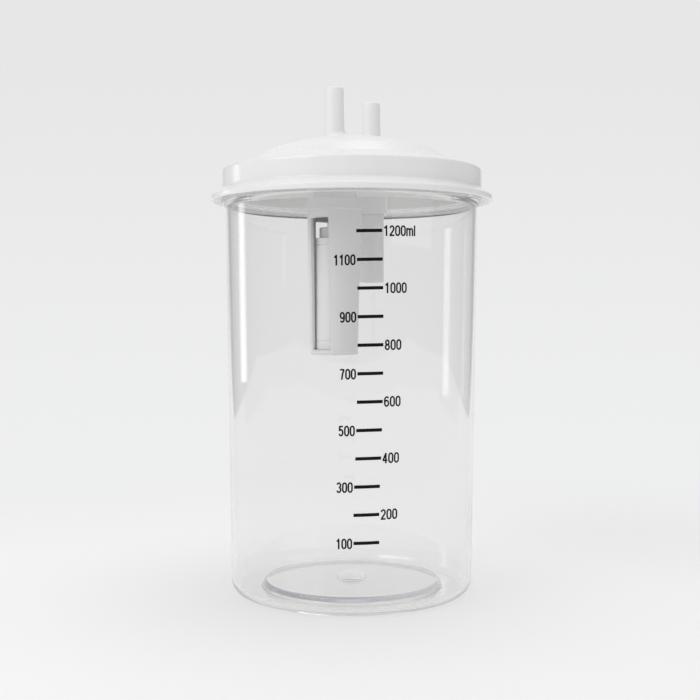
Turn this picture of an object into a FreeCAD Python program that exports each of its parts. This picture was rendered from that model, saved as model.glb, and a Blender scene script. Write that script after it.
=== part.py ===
import FreeCAD, Part
import os
import re

import Sketcher

# Suction canister, millimetres, +Z up.
# The origin is the centre of the ground plane under the jar, and the graduated front faces -Y.
# A clear drafted jar carries a domed push-on lid with two hose ports. Below the vacuum port a slotted
# cage guides a hollow float, whose rubber seal shuts the port when the jar is full. Below the patient
# port a short drop tube leads the fluid down, away from the valve.

doc = FreeCAD.newDocument("SuctionCanister")

# Driving sizes, millimetres and degrees
sizes = {
    # jar
    "jar_height": 183.0,  # ground to rim
    "base_radius": 53.6,  # outside wall, carried down to the ground
    "shoulder_radius": 55.9,  # outside wall where the bead starts
    "jar_wall": 2.0,
    "jar_floor": 2.2,
    "heel_round": 5.5,  # outside corner between wall and foot
    "neck_wall": 1.6,  # wall above the bead, inside the lid
    "rim_round": 0.6,
    "bead_radius": 58.1,
    "bead_edge": 1.5,  # straight outer edge of the bead
    "bead_slope": 2.5,  # height of the bead's drafted underside
    "bead_drop": 9.1,  # rim down to the bead's top
    "bead_round": 0.5,
    "punt_radius": 39.8,  # raised middle of the floor
    "punt_rise": 3.0,
    "punt_slope": 0.8,
    "punt_round": 1.2,
    "gate_radius": 6.7,  # round swelling over the moulding gate, hollow below
    "gate_rise": 2.9,
    # gasket
    "gasket_thickness": 1.6,
    "gasket_gap": 0.2,  # to each side of its groove
    # lid, measured from the groove's ceiling where the gasket seats
    "lid_wall": 1.8,
    "rim_gap": 0.3,  # lid to jar neck, inside and outside
    "corner_rise": 2.2,  # ceiling up to the sharp corner over the band
    "corner_round": 2.2,
    "dome_foot_radius": 45.2,
    "dome_foot_rise": 5.7,
    "dome_foot_round": 3.0,
    "dome_knuckle_radius": 37.0,
    "dome_knuckle_rise": 10.8,
    "dome_knuckle_round": 16.0,
    "dome_rise": 17.3,
    "plug_depth": 10.6,  # inner ring that enters the jar
    "plug_wall": 1.5,
    "plug_round": 0.5,
    "flare_rise": 4.1,  # bead top up to where the band starts to flare
    "flare_fall": 2.9,
    "flare_round": 1.2,
    "lip_reach": 4.5,  # bead to the lip's outer edge
    "lip_drop": 1.0,  # bead top down to the lip's lower edge
    "lip_wall": 1.6,
    "lip_round": 0.6,
    # hose ports
    "vacuum_x": -7.5,
    "vacuum_y": -15.0,
    "patient_x": 9.1,
    "patient_y": 21.5,
    "spigot_rise": 36.4,  # ceiling up to the tip
    "spigot_radius": 4.1,
    "spigot_land": 8.0,  # straight length for the hose
    "spigot_foot_radius": 4.7,
    "spigot_tip_round": 0.8,
    "spigot_foot_round": 2.6,
    "port_bore": 2.3,
    "port_bore_length": 24.0,
    # valve under the vacuum port
    "valve_depth": 16.5,  # ceiling down to the seat
    "cage_ring_radius": 10.2,
    "cage_ring_wall": 1.7,
    "seat_radius": 5.2,
    "seat_bore": 3.2,
    # socket under the patient port
    "socket_depth": 15.3,
    "socket_wall": 1.6,
    "tube_insertion": 15.3,
    # drop tube
    "tube_radius": 5.9,
    "tube_wall": 1.3,
    "tube_drop": 31.3,  # below the socket
    "tube_end_round": 0.4,
    "push_gap": 0.05,  # radial, for pieces pushed together
    # float cage
    "cage_length": 62.3,  # valve seat down to the cage's foot
    "cage_floor": 2.2,
    "cage_drain": 4.5,  # radius of the hole in its floor
    "cage_wall": 1.5,
    "cage_top_wall": 2.15,
    "cage_draft": 0.8,  # growth of its bore over its length
    "band_wall": 1.7,
    "band_height": 12.0,
    "cage_foot_round": 0.6,
    "slot_azimuth": 234.4,  # front slot; the back one mirrors it in X
    "front_slot_width": 9.4,
    "front_slot_margin": 3.6,  # wall left between slot and band
    "back_slot_width": 7.6,
    "back_slot_margin": 4.4,
    "slot_round": 0.8,
    # float
    "float_radius": 8.1,
    "float_gap": 0.6,  # to the cage at its foot
    "float_length": 48.0,
    "float_wall": 1.2,
    "cap_rim": 2.9,
    "foot_cap_rim": 3.8,
    "cap_plug": 3.0,
    "cap_plug_wall": 1.2,
    "seam_round": 0.35,
    "seal_radius": 6.35,
    "seal_thickness": 4.6,
    "seal_round": 0.5,
    "stud_radius": 2.0,
    "stud_height": 2.6,
}

sheet = doc.addObject("Spreadsheet::Sheet", "Sizes")
for row, (alias, value) in enumerate(sizes.items(), start=1):
    sheet.set(f"A{row}", alias)
    sheet.set(f"B{row}", str(value))
    sheet.setAlias(f"B{row}", alias)
doc.recompute()

# Sizes that follow from the driving ones
JAR_DRAFT = "(shoulder_radius - base_radius) / (jar_height - bead_drop - bead_edge - bead_slope)"
BEAD_TOP = "(jar_height - bead_drop)"
SHOULDER = f"({BEAD_TOP} - bead_edge - bead_slope)"
MOUTH = f"(base_radius - jar_wall + {JAR_DRAFT} * jar_height)"
NECK = f"({MOUTH} + neck_wall)"
CEILING = "(jar_height + gasket_thickness)"
SKIRT = f"({NECK} + rim_gap)"
BAND = f"({SKIRT} + lid_wall)"
PLUG = f"(base_radius - jar_wall + {JAR_DRAFT} * ({CEILING} - plug_depth) - rim_gap)"
SEAT_HEIGHT = f"({CEILING} - valve_depth)"
CAGE_FOOT = f"({SEAT_HEIGHT} - cage_length)"
CAGE_BORE = "(float_radius + float_gap)"
FLOAT_REST = f"({CAGE_FOOT} + cage_floor)"
TUBE_TOP = f"({CEILING} - socket_depth + tube_insertion)"
TUBE_LENGTH = "(tube_insertion + tube_drop)"
SOCKET_RADIUS = "(tube_radius + push_gap + socket_wall)"

# Two lengths closer than this are taken as the same when an edge is looked for
SAME = 1e-3


def bound(text):
    """The expression with every size's name pointed at its cell."""
    return re.sub(r"[a-z][a-z_]+", lambda word: f"Sizes.{word.group(0)}", text)


def number(text):
    """The value of an expression of the sizes."""
    return float(sheet.evalExpression(bound(text)))


def new_body(name, x="0", y="0", z="0"):
    """An empty body whose origin stands at the given point of the canister."""
    body = doc.addObject("PartDesign::Body", name)
    body.Label = name
    for axis, text in (("x", x), ("y", y), ("z", z)):
        body.setExpression(f".Placement.Base.{axis}", bound(text))
    return body


def origin_feature(body, role):
    """The body's own plane or axis of that role."""
    return next(item for item in body.Origin.OriginFeatures if item.Role == role)


def new_sketch(body, name, role, shift=("0", "0", "0"), turn=None):
    """A sketch on one of the body's planes, moved within the plane's own frame or turned about Z."""
    sketch = body.newObject("Sketcher::SketchObject", name)
    sketch.AttachmentSupport = [(origin_feature(body, role), "")]
    sketch.MapMode = "FlatFace"
    if turn:
        rotation = FreeCAD.Rotation(FreeCAD.Vector(0, 1, 0), number(turn))
        sketch.AttachmentOffset = FreeCAD.Placement(FreeCAD.Vector(), rotation)
        sketch.setExpression(".AttachmentOffset.Rotation.Angle", bound(turn))
    for axis, text in zip("xyz", shift):
        sketch.setExpression(f".AttachmentOffset.Base.{axis}", bound(text))
    return sketch


def pin_corner(sketch, edge, end, across, up):
    """Holds an edge's end at its two coordinates."""
    for kind, text, line in (("DistanceX", across, -2), ("DistanceY", up, -1)):
        if text == "0":
            sketch.addConstraint(Sketcher.Constraint("PointOnObject", edge, end, line))
            continue
        index = sketch.addConstraint(Sketcher.Constraint(kind, -1, 1, edge, end, number(text)))
        sketch.setExpression(f"Constraints[{index}]", bound(text))


def draw_outline(sketch, corners, crowned=()):
    """A closed outline through the corners, each a pair of expressions.

    The edge that leaves a corner listed in crowned is an arc centred on the vertical axis.
    """
    points = [FreeCAD.Vector(number(across), number(up), 0) for across, up in corners]
    firsts = []
    lasts = []
    for index, here in enumerate(points):
        there = points[(index + 1) % len(points)]
        if index in crowned:
            middle = (there.x**2 + there.y**2 - here.x**2 - here.y**2) / (2 * (there.y - here.y))
            centre = FreeCAD.Vector(0, middle, 0)
            low, high = sorted((here, there), key=lambda point: -point.x)
            start = (low - centre).getAngle(FreeCAD.Vector(1, 0, 0))
            stop = (high - centre).getAngle(FreeCAD.Vector(1, 0, 0))
            circle = Part.Circle(centre, FreeCAD.Vector(0, 0, 1), (here - centre).Length)
            edge = sketch.addGeometry(Part.ArcOfCircle(circle, start, stop))
            sketch.addConstraint(Sketcher.Constraint("PointOnObject", edge, 3, -2))
            ends = (1, 2) if here.x > there.x else (2, 1)
        else:
            edge = sketch.addGeometry(Part.LineSegment(here, there))
            ends = (1, 2)
        firsts.append((edge, ends[0]))
        lasts.append((edge, ends[1]))
    for index, (across, up) in enumerate(corners):
        sketch.addConstraint(Sketcher.Constraint("Coincident", *lasts[index - 1], *firsts[index]))
        pin_corner(sketch, *firsts[index], across, up)


def turned(body, name, corners, crowned=(), cut=False, shift=("0", "0", "0")):
    """A form of revolution about the sketch's vertical axis, added to the body or cut from it."""
    sketch = new_sketch(body, f"{name}_outline", "XZ_Plane", shift)
    draw_outline(sketch, corners, crowned)
    feature = body.newObject("PartDesign::Groove" if cut else "PartDesign::Revolution", name)
    feature.Profile = sketch
    feature.ReferenceAxis = (sketch, ["V_Axis"])
    feature.Angle = 360
    body.Tip = feature
    doc.recompute()
    return feature


def rings(shape, radius, height):
    """Names of the edges that are circles of that radius about the body's axis at that height."""
    found = []
    for index, edge in enumerate(shape.Edges, start=1):
        if edge.Degenerated or not isinstance(edge.Curve, Part.Circle):
            continue
        curve = edge.Curve
        off_axis = (curve.Center.x**2 + curve.Center.y**2) ** 0.5
        if max(off_axis, abs(curve.Radius - radius), abs(curve.Center.z - height)) < SAME:
            found.append(f"Edge{index}")
    return found


def rounded(body, name, radius, picked):
    """A fillet on the picked edges of the body so far."""
    if not picked:
        raise RuntimeError(f"{name}: no edge found")
    base = body.Tip
    fillet = body.newObject("PartDesign::Fillet", name)
    fillet.Base = (base, picked)
    fillet.setExpression("Radius", bound(radius))
    body.Tip = fillet
    doc.recompute()
    return fillet


def rounded_rings(body, name, radius, corners):
    """A fillet along the circles swept by those corners of a turned outline."""
    picked = []
    for across, up in corners:
        picked += rings(body.Tip.Shape, number(across), number(up))
    return rounded(body, name, radius, picked)


# Jar: one clear moulding. The drafted wall carries a bead under the lid, and its foot is a ring round
# a raised middle, so that it stands steady.
def make_jar():
    inside = f"(base_radius - jar_wall + {JAR_DRAFT} * jar_floor)"
    punt_top = "(punt_radius - punt_slope)"
    heel = ("base_radius", "0")
    shoulder = ("shoulder_radius", SHOULDER)
    bead_low = ("bead_radius", f"{SHOULDER} + bead_slope")
    bead_high = ("bead_radius", BEAD_TOP)
    neck_foot = (NECK, BEAD_TOP)
    rim_outside = (NECK, "jar_height")
    rim_inside = (MOUTH, "jar_height")
    heel_inside = (inside, "jar_floor")
    punt_foot = ("punt_radius", "0")
    punt_under = (punt_top, "punt_rise")
    punt_edge = (punt_top, "punt_rise + jar_floor")
    punt_inner_foot = ("punt_radius", "jar_floor")
    body = new_body("jar")
    outline = [
        ("0", "punt_rise"),
        punt_under,
        punt_foot,
        heel,
        shoulder,
        bead_low,
        bead_high,
        neck_foot,
        rim_outside,
        rim_inside,
        heel_inside,
        punt_inner_foot,
        punt_edge,
        ("0", "punt_rise + jar_floor"),
    ]
    turned(body, "jar_wall_and_floor", outline)
    gate_foot = ("gate_radius", "punt_rise + jar_floor")
    gate_root = "punt_rise + jar_floor / 2"
    gate = [("0", gate_root), ("gate_radius", gate_root), gate_foot, ("0", "punt_rise + jar_floor + gate_rise")]
    turned(body, "gate_swelling", gate, crowned=(2,))
    gate_crown = ("0", "punt_rise + gate_rise")
    gate_under = [("0", "0"), ("gate_radius", "0"), ("gate_radius", "punt_rise"), gate_crown]
    turned(body, "gate_hollow", gate_under, crowned=(2,), cut=True)
    rounded_rings(body, "heel_fillet", "heel_round", [heel])
    rounded_rings(body, "inner_heel_fillet", "heel_round - jar_wall", [heel_inside])
    rounded_rings(body, "punt_fillet", "punt_round", [punt_under, punt_foot, punt_edge, punt_inner_foot])
    rounded_rings(body, "bead_fillet", "bead_round", [bead_low, bead_high])
    rounded_rings(body, "rim_fillet", "rim_round", [rim_outside, rim_inside])
    return body


# Lid gasket: a flat rubber ring between the jar's rim and the ceiling of the lid's groove.
def make_gasket():
    body = new_body("lid_gasket", z="jar_height")
    inner = f"({PLUG} + gasket_gap)"
    outer = f"({SKIRT} - gasket_gap)"
    outline = [(inner, "0"), (outer, "0"), (outer, "gasket_thickness"), (inner, "gasket_thickness")]
    turned(body, "gasket_ring", outline)
    return body


# Lid: one white moulding. Its heights are counted from the valve seat, its lowest point.
LID_CEILING = "valve_depth"
LID_BEAD_TOP = f"({BEAD_TOP} - {SEAT_HEIGHT})"
DOME_TOP = f"({LID_CEILING} + dome_rise)"
KNUCKLE_HEIGHT = f"({LID_CEILING} + dome_knuckle_rise)"
DOME_FOOT_HEIGHT = f"({LID_CEILING} + dome_foot_rise)"
CORNER_HEIGHT = f"({LID_CEILING} + corner_rise)"
SHOULDER_SLOPE = f"((dome_foot_rise - corner_rise) / ({BAND} - dome_foot_radius))"


def dome_outline(depth):
    """The dome's corners, from its foot to its top, moved down by a share of the wall."""
    return [
        ("dome_foot_radius", f"{DOME_FOOT_HEIGHT} - {depth}"),
        ("dome_knuckle_radius", f"{KNUCKLE_HEIGHT} - {depth}"),
        ("0", f"{DOME_TOP} - {depth}"),
    ]


def port_shift(port):
    """Places a sketch of the upright plane on a port's axis."""
    return (f"{port}_x", "0", f"-{port}_y")


def around_stem(shape, port, low, high):
    """Names of the edges that run round a spigot's outer wall between two heights."""
    axis = FreeCAD.Vector(number(f"{port}_x"), number(f"{port}_y"), 0)
    least = number("spigot_radius") - SAME
    most = number("spigot_foot_radius") + SAME
    found = []
    for index, edge in enumerate(shape.Edges, start=1):
        if edge.Degenerated:
            continue
        points = edge.discretize(9)
        reaches = [(FreeCAD.Vector(point.x, point.y, 0) - axis).Length for point in points]
        heights = [point.z for point in points]
        level = max(heights) - min(heights) < edge.Length / 2
        on_wall = least < min(reaches) and max(reaches) < most
        if level and on_wall and low < min(heights) and max(heights) < high:
            found.append(f"Edge{index}")
    return found


def make_lid():
    body = new_body("lid", z=SEAT_HEIGHT)
    spigot_tip = f"({LID_CEILING} + spigot_rise)"
    spigot_land = f"({spigot_tip} - spigot_land)"

    # the ring that holds the cage and the socket of the drop tube, trimmed inside the dome's wall
    cage_ring = [("0", "0"), ("cage_ring_radius", "0"), ("cage_ring_radius", DOME_TOP), ("0", DOME_TOP)]
    turned(body, "cage_ring", cage_ring, shift=port_shift("vacuum"))
    socket_foot = f"({LID_CEILING} - socket_depth)"
    socket = [("0", socket_foot), (SOCKET_RADIUS, socket_foot), (SOCKET_RADIUS, DOME_TOP), ("0", DOME_TOP)]
    turned(body, "tube_socket", socket, shift=port_shift("patient"))
    foot, knuckle, top = dome_outline("lid_wall / 2")
    trim_top = f"({DOME_TOP} + lid_wall)"
    turned(body, "dome_trim", [foot, knuckle, top, ("0", trim_top), ("dome_foot_radius", trim_top)],
           crowned=(1,), cut=True)

    # the ring's hollow leaves the valve seat standing as a tube in its middle
    ring_bore = "(cage_ring_radius - cage_ring_wall)"
    hollow = [("seat_radius", "0"), (ring_bore, "0"), (ring_bore, DOME_TOP), ("seat_radius", DOME_TOP)]
    turned(body, "ring_hollow", hollow, cut=True, shift=port_shift("vacuum"))

    # band, flared lip, groove for the gasket, plug ring and dome, as one shell
    flare_top = (BAND, f"{LID_BEAD_TOP} + flare_rise")
    lip_outer = "(bead_radius + lip_reach)"
    lip_top = (lip_outer, f"{LID_BEAD_TOP} + flare_rise - flare_fall")
    lip_bottom = (lip_outer, f"{LID_BEAD_TOP} - lip_drop")
    lip_inner = (f"({lip_outer} - lip_wall)", f"{LID_BEAD_TOP} - lip_drop")
    flare_inside = (SKIRT, f"{LID_BEAD_TOP} + flare_rise - lip_wall / 2")
    groove_outside = (SKIRT, LID_CEILING)
    groove_inside = (PLUG, LID_CEILING)
    plug_bottom = f"({LID_CEILING} - plug_depth)"
    plug_outside = (PLUG, plug_bottom)
    plug_inside = (f"({PLUG} - plug_wall)", plug_bottom)
    under_shoulder = (
        f"({PLUG} - plug_wall)",
        f"({DOME_FOOT_HEIGHT} - lid_wall - {SHOULDER_SLOPE} * ({PLUG} - plug_wall - dome_foot_radius))",
    )
    under_foot, under_knuckle, under_top = dome_outline("lid_wall")
    dome_foot, dome_knuckle, dome_top = dome_outline("0")
    band_corner = (BAND, CORNER_HEIGHT)
    shell = [
        under_top,
        under_knuckle,
        under_foot,
        under_shoulder,
        plug_inside,
        plug_outside,
        groove_inside,
        groove_outside,
        flare_inside,
        lip_inner,
        lip_bottom,
        lip_top,
        flare_top,
        band_corner,
        dome_foot,
        dome_knuckle,
        dome_top,
    ]
    turned(body, "lid_shell", shell, crowned=(0, 15))
    rounded_rings(body, "knuckle_fillet", "dome_knuckle_round", [dome_knuckle])
    rounded_rings(body, "dome_foot_fillet", "dome_foot_round", [dome_foot])
    rounded_rings(body, "corner_fillet", "corner_round", [band_corner])
    rounded_rings(body, "flare_fillet", "flare_round", [flare_top])
    rounded_rings(body, "lip_fillet", "lip_round", [lip_top, lip_bottom])
    rounded_rings(body, "plug_fillet", "plug_round", [plug_outside, plug_inside])

    # hose spigots: a straight land for the hose over a tapered stem
    stem = [
        ("0", DOME_FOOT_HEIGHT),
        ("spigot_foot_radius", DOME_FOOT_HEIGHT),
        ("spigot_foot_radius", KNUCKLE_HEIGHT),
        ("spigot_radius", spigot_land),
        ("spigot_radius", spigot_tip),
        ("0", spigot_tip),
    ]
    for port in ("vacuum", "patient"):
        turned(body, f"{port}_spigot", stem, shift=port_shift(port))
        feet = around_stem(body.Tip.Shape, port, number(KNUCKLE_HEIGHT), number(spigot_land) - SAME)
        rounded(body, f"{port}_foot_fillet", "spigot_foot_round", feet)
        tips = around_stem(body.Tip.Shape, port, number(spigot_tip) - SAME, number(spigot_tip) + SAME)
        rounded(body, f"{port}_tip_fillet", "spigot_tip_round", tips)

    # bores, from tip to seat and from tip to socket
    narrow_foot = f"({spigot_tip} - port_bore_length)"
    vacuum_bore = [
        ("0", "0"),
        ("seat_bore", "0"),
        ("seat_bore", narrow_foot),
        ("port_bore", narrow_foot),
        ("port_bore", spigot_tip),
        ("0", spigot_tip),
    ]
    turned(body, "vacuum_bore", vacuum_bore, cut=True, shift=port_shift("vacuum"))
    tube_socket = "(tube_radius + push_gap)"
    tube_bore = "(tube_radius - tube_wall)"
    tube_seat = f"({socket_foot} + tube_insertion)"
    patient_bore = [
        ("0", socket_foot),
        (tube_socket, socket_foot),
        (tube_socket, tube_seat),
        (tube_bore, tube_seat),
        (tube_bore, narrow_foot),
        ("port_bore", narrow_foot),
        ("port_bore", spigot_tip),
        ("0", spigot_tip),
    ]
    turned(body, "patient_bore", patient_bore, cut=True, shift=port_shift("patient"))
    return body


# Float cage: a drafted tube with a pierced floor and two upright slots, pushed on the ring under the lid.
def cut_slot(body, side, azimuth):
    """Cuts one slot outwards from the axis and rounds its upper corners."""
    slot_top = f"(cage_length - {side}_slot_margin)"
    half = f"{side}_slot_width / 2"
    sketch = new_sketch(body, f"{side}_slot_outline", "YZ_Plane", turn=azimuth)
    outline = [(f"-{half}", "cage_floor"), (half, "cage_floor"), (half, slot_top), (f"-{half}", slot_top)]
    draw_outline(sketch, outline)
    slot = body.newObject("PartDesign::Pocket", f"{side}_slot")
    slot.Profile = sketch
    slot.setExpression("Length", bound("2 * cage_ring_radius"))
    slot.Reversed = True
    body.Tip = slot
    doc.recompute()
    height = number(slot_top)
    corners = []
    for index, edge in enumerate(slot.Shape.Edges, start=1):
        if edge.Degenerated or not isinstance(edge.Curve, Part.Line):
            continue
        if max(abs(vertex.Z - height) for vertex in edge.Vertexes) < SAME:
            corners.append(f"Edge{index}")
    rounded(body, f"{side}_slot_fillet", "slot_round", corners)


def make_cage():
    body = new_body("float_cage", "vacuum_x", "vacuum_y", CAGE_FOOT)
    bore_top = f"({CAGE_BORE} + cage_draft)"
    socket = "(cage_ring_radius + push_gap)"
    foot = (f"({CAGE_BORE} + cage_wall)", "0")
    outline = [
        ("cage_drain", "0"),
        foot,
        (f"({bore_top} + cage_top_wall)", "cage_length"),
        (f"({socket} + band_wall)", "cage_length"),
        (f"({socket} + band_wall)", "cage_length + band_height"),
        (socket, "cage_length + band_height"),
        (socket, "cage_length"),
        (bore_top, "cage_length"),
        (CAGE_BORE, "cage_floor"),
        ("cage_drain", "cage_floor"),
    ]
    turned(body, "cage_tube", outline)
    rounded_rings(body, "cage_foot_fillet", "cage_foot_round", [foot])
    cut_slot(body, "front", "slot_azimuth")
    cut_slot(body, "back", "360 - slot_azimuth")
    return body


# Drop tube: a plain short tube pushed up into the socket under the patient port.
def make_drop_tube():
    body = new_body("drop_tube", "patient_x", "patient_y", f"{TUBE_TOP} - {TUBE_LENGTH}")
    bore = "(tube_radius - tube_wall)"
    outline = [(bore, "0"), ("tube_radius", "0"), ("tube_radius", TUBE_LENGTH), (bore, TUBE_LENGTH)]
    turned(body, "tube", outline)
    ends = [("tube_radius", "0"), ("tube_radius", TUBE_LENGTH)]
    rounded_rings(body, "tube_end_fillet", "tube_end_round", ends)
    return body


# Float: a thin tube closed by two plugged caps, with a rubber seal held on the upper cap's stud.
def make_float():
    tube_low = "foot_cap_rim"
    tube_high = "(float_length - cap_rim)"
    bore = "(float_radius - float_wall)"
    plug = f"({bore} - push_gap)"
    tube = new_body("float_tube", "vacuum_x", "vacuum_y", FLOAT_REST)
    outline = [(bore, tube_low), ("float_radius", tube_low), ("float_radius", tube_high), (bore, tube_high)]
    turned(tube, "float_wall", outline)
    seams = [("float_radius", tube_low), ("float_radius", tube_high)]
    rounded_rings(tube, "tube_seam_fillet", "seam_round", seams)

    low = new_body("float_bottom_cap", "vacuum_x", "vacuum_y", FLOAT_REST)
    outline = [
        ("0", "0"),
        ("float_radius", "0"),
        ("float_radius", tube_low),
        (plug, tube_low),
        (plug, f"{tube_low} + cap_plug"),
        (f"({plug} - cap_plug_wall)", f"{tube_low} + cap_plug"),
        (f"({plug} - cap_plug_wall)", tube_low),
        ("0", tube_low),
    ]
    turned(low, "bottom_cap", outline)
    rounded_rings(low, "bottom_cap_fillet", "seam_round", [("float_radius", "0"), ("float_radius", tube_low)])

    high = new_body("float_top_cap", "vacuum_x", "vacuum_y", FLOAT_REST)
    outline = [
        ("0", tube_high),
        (f"({plug} - cap_plug_wall)", tube_high),
        (f"({plug} - cap_plug_wall)", f"{tube_high} - cap_plug"),
        (plug, f"{tube_high} - cap_plug"),
        (plug, tube_high),
        ("float_radius", tube_high),
        ("float_radius", "float_length"),
        ("stud_radius", "float_length"),
        ("stud_radius", "float_length + stud_height"),
        ("0", "float_length + stud_height"),
    ]
    turned(high, "top_cap", outline)
    rims = [("float_radius", tube_high), ("float_radius", "float_length")]
    rounded_rings(high, "top_cap_fillet", "seam_round", rims)

    seal = new_body("valve_seal", "vacuum_x", "vacuum_y", f"{FLOAT_REST} + float_length")
    hole = "(stud_radius + push_gap)"
    outline = [
        ("0", "stud_height"),
        (hole, "stud_height"),
        (hole, "0"),
        ("seal_radius", "0"),
        ("seal_radius", "seal_thickness"),
        ("0", "seal_thickness"),
    ]
    turned(seal, "seal_pad", outline)
    edges = [("seal_radius", "0"), ("seal_radius", "seal_thickness")]
    rounded_rings(seal, "seal_fillet", "seal_round", edges)
    return [tube, low, high, seal]


pieces = [make_jar(), make_gasket(), make_lid(), make_cage(), make_drop_tube(), *make_float()]
doc.recompute()

for item in doc.Objects:
    if {"Invalid", "Error"} & set(item.State):
        raise RuntimeError(f"{item.Name} failed: {item.State}")

os.makedirs("parts", exist_ok=True)
for piece in pieces:
    shape = piece.Shape
    if shape.isNull() or not shape.isValid() or len(shape.Solids) != 1:
        raise RuntimeError(f"{piece.Label} is not one valid solid")
    print(piece.Label, round(shape.Volume), round(shape.BoundBox.ZMin, 2), round(shape.BoundBox.ZMax, 2))
    shape.exportStep(f"parts/{piece.Label}.step")
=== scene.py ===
import math

import bmesh
import bpy
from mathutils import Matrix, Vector
from mathutils.geometry import delaunay_2d_cdt


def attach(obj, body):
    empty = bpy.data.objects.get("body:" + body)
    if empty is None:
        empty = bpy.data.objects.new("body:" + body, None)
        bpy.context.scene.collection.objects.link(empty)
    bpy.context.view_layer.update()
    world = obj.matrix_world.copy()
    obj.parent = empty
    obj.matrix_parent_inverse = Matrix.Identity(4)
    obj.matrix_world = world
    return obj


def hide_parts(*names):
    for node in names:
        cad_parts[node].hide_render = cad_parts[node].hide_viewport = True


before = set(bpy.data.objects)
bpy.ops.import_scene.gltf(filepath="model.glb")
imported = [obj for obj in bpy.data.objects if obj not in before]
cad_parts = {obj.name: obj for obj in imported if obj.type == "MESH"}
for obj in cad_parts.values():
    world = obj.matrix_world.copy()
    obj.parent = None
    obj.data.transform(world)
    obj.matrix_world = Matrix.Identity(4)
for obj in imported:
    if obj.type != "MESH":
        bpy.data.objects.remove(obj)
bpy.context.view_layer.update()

# Lengths below are in millimetres, and each mesh is turned into metres as it is made
MM = 0.001


# Jar
# A clear hard plastic cup, injection moulded in one shot with polished faces inside and out. Its wall is
# tapered so that it leaves the core, a bead stiffens it under the lid, and the raised floor shows the
# round swelling over the gate.
JAR_HEIGHT = 183.0
JAR_WALL = 2.0
BASE_RADIUS = 53.6
SHOULDER_RADIUS = 55.9
SHOULDER_HEIGHT = 169.9
BEAD_RADIUS = 58.1
BEAD_LOW = 172.4
BEAD_TOP = 173.9
JAR_FLOOR = 2.2
PUNT_RADIUS = 39.8
PUNT_RISE = 3.0
GATE_RADIUS = 6.7
GATE_RISE = 2.9
PUNT_DRAFT = 0.8
PUNT_ROUND = 1.2
HEEL_ROUND = 5.5
INNER_HEEL_ROUND = 3.5
BEAD_ROUND = 0.5
RIM_ROUND = 0.6
JAR_DRAFT = (SHOULDER_RADIUS - BASE_RADIUS) / SHOULDER_HEIGHT


def jar_outside(height):
    """The radius of the jar's outer face at a height."""
    return BASE_RADIUS + JAR_DRAFT * height


def jar_inside(height):
    """The radius of the jar's inner face at a height."""
    return jar_outside(height) - JAR_WALL


def rounded_corner(before, corner, after, radius, steps):
    """Points of the arc that rounds a corner of an outline."""
    here = Vector(corner)
    back = (Vector(before) - here).normalized()
    ahead = (Vector(after) - here).normalized()
    half = back.angle(ahead) / 2
    centre = here + (back + ahead).normalized() * (radius / math.sin(half))
    first = here + back * (radius / math.tan(half)) - centre
    last = here + ahead * (radius / math.tan(half)) - centre
    return [tuple(centre + first.slerp(last, index / steps) * radius) for index in range(steps + 1)]


def steadied(points, closed, stay=0.25):
    """The path with a point close to both ends of each long run, so that its shading stays straight."""
    steady = []
    for index, point in enumerate(points):
        steady.append(point)
        if index == len(points) - 1 and not closed:
            break
        here = Vector(point)
        run = Vector(points[(index + 1) % len(points)]) - here
        if run.length > 4 * stay:
            ease = run.normalized() * stay
            steady += [tuple(here + ease), tuple(here + run - ease)]
    return steady


def outline(corners, closed=False):
    """A path through (radius, height) corners; a third number rounds the corner by that radius."""
    points = []
    for index, corner in enumerate(corners):
        rounding = corner[2] if len(corner) > 2 else 0
        if not rounding or (not closed and index in (0, len(corners) - 1)):
            points.append(corner[:2])
            continue
        before = corners[index - 1][:2]
        after = corners[(index + 1) % len(corners)][:2]
        steps = max(6, round(rounding * 4))
        points += rounded_corner(before, corner[:2], after, rounding, steps)
    return steadied(points, closed)


def crown(edge_radius, edge_height, rise, steps=10):
    """Points of a shallow arc from the axis out to its edge, centred on the axis."""
    ball = (edge_radius**2 + rise**2) / (2 * rise)
    top = edge_height + rise
    reaches = [edge_radius * index / steps for index in range(steps + 1)]
    return [(reach, top - ball + math.sqrt(ball**2 - reach**2)) for reach in reaches]


def new_piece(name, build, sharp=35):
    """An object at the origin whose mesh comes from a bmesh in millimetres, outward faces checked."""
    if build.calc_volume(signed=True) < 0:
        bmesh.ops.reverse_faces(build, faces=build.faces)
    bmesh.ops.scale(build, vec=(MM, MM, MM), verts=build.verts)
    mesh = bpy.data.meshes.new(name)
    build.to_mesh(mesh)
    build.free()
    mesh.shade_smooth()
    mesh.set_sharp_from_angle(angle=math.radians(sharp))
    piece = bpy.data.objects.new(name, mesh)
    bpy.context.scene.collection.objects.link(piece)
    return piece


def spin_rings(build, path, axis, segments):
    """Rings of vertices round an upright axis, one for each point of the path; a point on it is a pole."""
    rings = []
    for reach, height in path:
        if reach < 1e-6:
            rings.append([build.verts.new((axis[0], axis[1], height))])
            continue
        ring = []
        for index in range(segments):
            turn = 2 * math.pi * index / segments
            x = axis[0] + reach * math.cos(turn)
            y = axis[1] + reach * math.sin(turn)
            ring.append(build.verts.new((x, y, height)))
        rings.append(ring)
    return rings


def join_rings(build, low, high):
    """Faces between two rings, one of which may be a pole."""
    count = max(len(low), len(high))
    for index in range(count):
        following = (index + 1) % count
        if len(low) == 1:
            build.faces.new((low[0], high[following], high[index]))
        elif len(high) == 1:
            build.faces.new((low[index], low[following], high[0]))
        else:
            build.faces.new((low[index], low[following], high[following], high[index]))


def turned(name, path, axis=(0, 0), segments=128, closed=False):
    """A solid of revolution. An open path starts and ends on the axis."""
    build = bmesh.new()
    rings = spin_rings(build, path, axis, segments)
    for low, high in zip(rings, rings[1:]):
        join_rings(build, low, high)
    if closed:
        join_rings(build, rings[-1], rings[0])
    return new_piece(name, build)


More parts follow.
